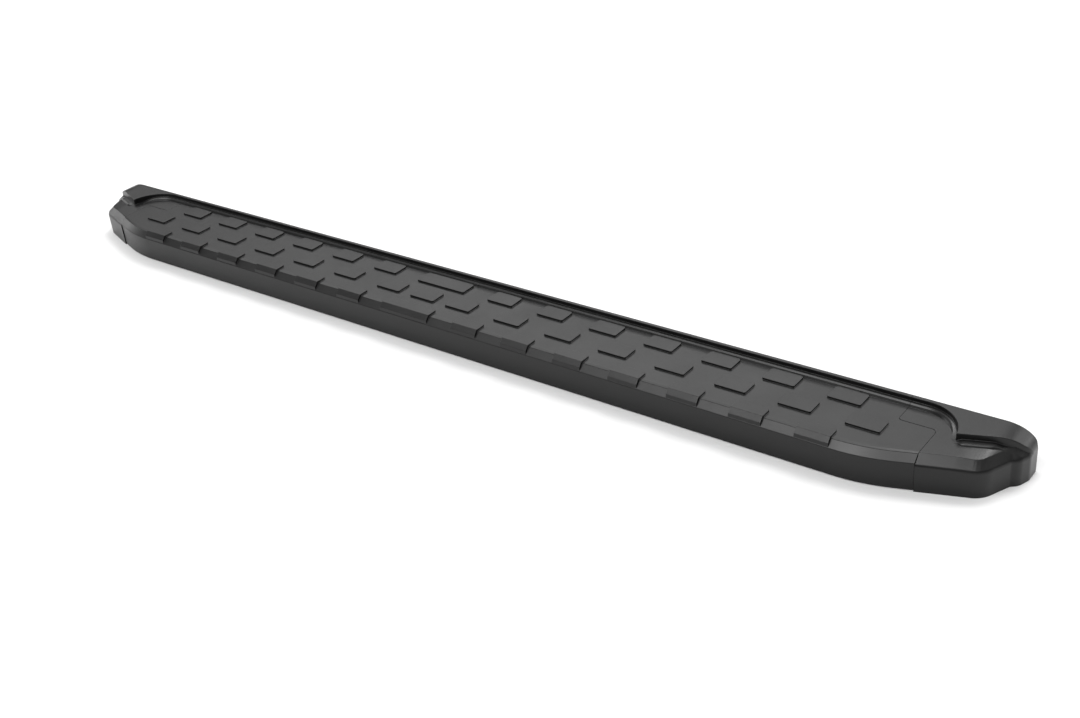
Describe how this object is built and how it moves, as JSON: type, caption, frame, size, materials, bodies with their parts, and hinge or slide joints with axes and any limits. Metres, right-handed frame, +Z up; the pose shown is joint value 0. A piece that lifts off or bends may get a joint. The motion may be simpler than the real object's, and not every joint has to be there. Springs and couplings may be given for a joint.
{
  "type": "running board",
  "caption": "Side step for a vehicle sill: moulded tread cover with staggered raised pads and two end caps on an aluminium core with underside T-slots.",
  "frame": {"origin": "on the floor plane that the end caps stand on, under the middle of the board's length and width", "axes": "+X along the board (to the right as seen from the outer edge), +Y from the outer edge towards the vehicle, +Z up"},
  "size_m": [1.841, 0.14, 0.064],
  "materials": {
    "cover_plastic": "fine-grained matte black moulded plastic",
    "cap_plastic": "fine-grained matte black moulded plastic, slightly smoother than the tread cover",
    "core_aluminium": "mill-finish extruded aluminium with fine lengthwise die lines",
    "zinc_steel": "bright zinc-plated steel",
    "black_steel": "black zinc-plated steel, satin"
  },
  "bodies": {
    "board": {"centre_cover": "cover_plastic", "right_end_cap": "cap_plastic", "left_end_cap": "cap_plastic", "core_extrusion": "core_aluminium", "cover_screw_front_1": "black_steel", "cover_screw_rear_1": "black_steel", "cover_screw_front_2": "black_steel", "cover_screw_rear_2": "black_steel", "cover_screw_front_3": "black_steel", "cover_screw_rear_3": "black_steel", "cover_screw_front_4": "black_steel", "cover_screw_rear_4": "black_steel", "cover_screw_front_5": "black_steel", "cover_screw_rear_5": "black_steel", "left_cap_screw_front": "black_steel", "left_cap_screw_rear": "black_steel", "right_cap_screw_front": "black_steel", "right_cap_screw_rear": "black_steel"},
    "left_front_bolt_set": {"left_front_t_bolt": "zinc_steel", "left_front_washer": "zinc_steel", "left_front_lock_washer": "zinc_steel", "left_front_nut": "zinc_steel"},
    "left_rear_bolt_set": {"left_rear_t_bolt": "zinc_steel", "left_rear_washer": "zinc_steel", "left_rear_lock_washer": "zinc_steel", "left_rear_nut": "zinc_steel"},
    "middle_front_bolt_set": {"middle_front_t_bolt": "zinc_steel", "middle_front_washer": "zinc_steel", "middle_front_lock_washer": "zinc_steel", "middle_front_nut": "zinc_steel"},
    "middle_rear_bolt_set": {"middle_rear_t_bolt": "zinc_steel", "middle_rear_washer": "zinc_steel", "middle_rear_lock_washer": "zinc_steel", "middle_rear_nut": "zinc_steel"},
    "right_front_bolt_set": {"right_front_t_bolt": "zinc_steel", "right_front_washer": "zinc_steel", "right_front_lock_washer": "zinc_steel", "right_front_nut": "zinc_steel"},
    "right_rear_bolt_set": {"right_rear_t_bolt": "zinc_steel", "right_rear_washer": "zinc_steel", "right_rear_lock_washer": "zinc_steel", "right_rear_nut": "zinc_steel"}
  },
  "joints": [
    {"name": "left_front_bolt_slide", "type": "slide", "parent": "board", "child": "left_front_bolt_set", "axis": [1, 0, 0], "range_m": [-0.164, 0.26]},
    {"name": "left_rear_bolt_slide", "type": "slide", "parent": "board", "child": "left_rear_bolt_set", "axis": [1, 0, 0], "range_m": [-0.164, 0.26]},
    {"name": "middle_front_bolt_slide", "type": "slide", "parent": "board", "child": "middle_front_bolt_set", "axis": [1, 0, 0], "range_m": [-0.26, 0.26]},
    {"name": "middle_rear_bolt_slide", "type": "slide", "parent": "board", "child": "middle_rear_bolt_set", "axis": [1, 0, 0], "range_m": [-0.26, 0.26]},
    {"name": "right_front_bolt_slide", "type": "slide", "parent": "board", "child": "right_front_bolt_set", "axis": [1, 0, 0], "range_m": [-0.26, 0.164]},
    {"name": "right_rear_bolt_slide", "type": "slide", "parent": "board", "child": "right_rear_bolt_set", "axis": [1, 0, 0], "range_m": [-0.26, 0.164]}
  ]
}
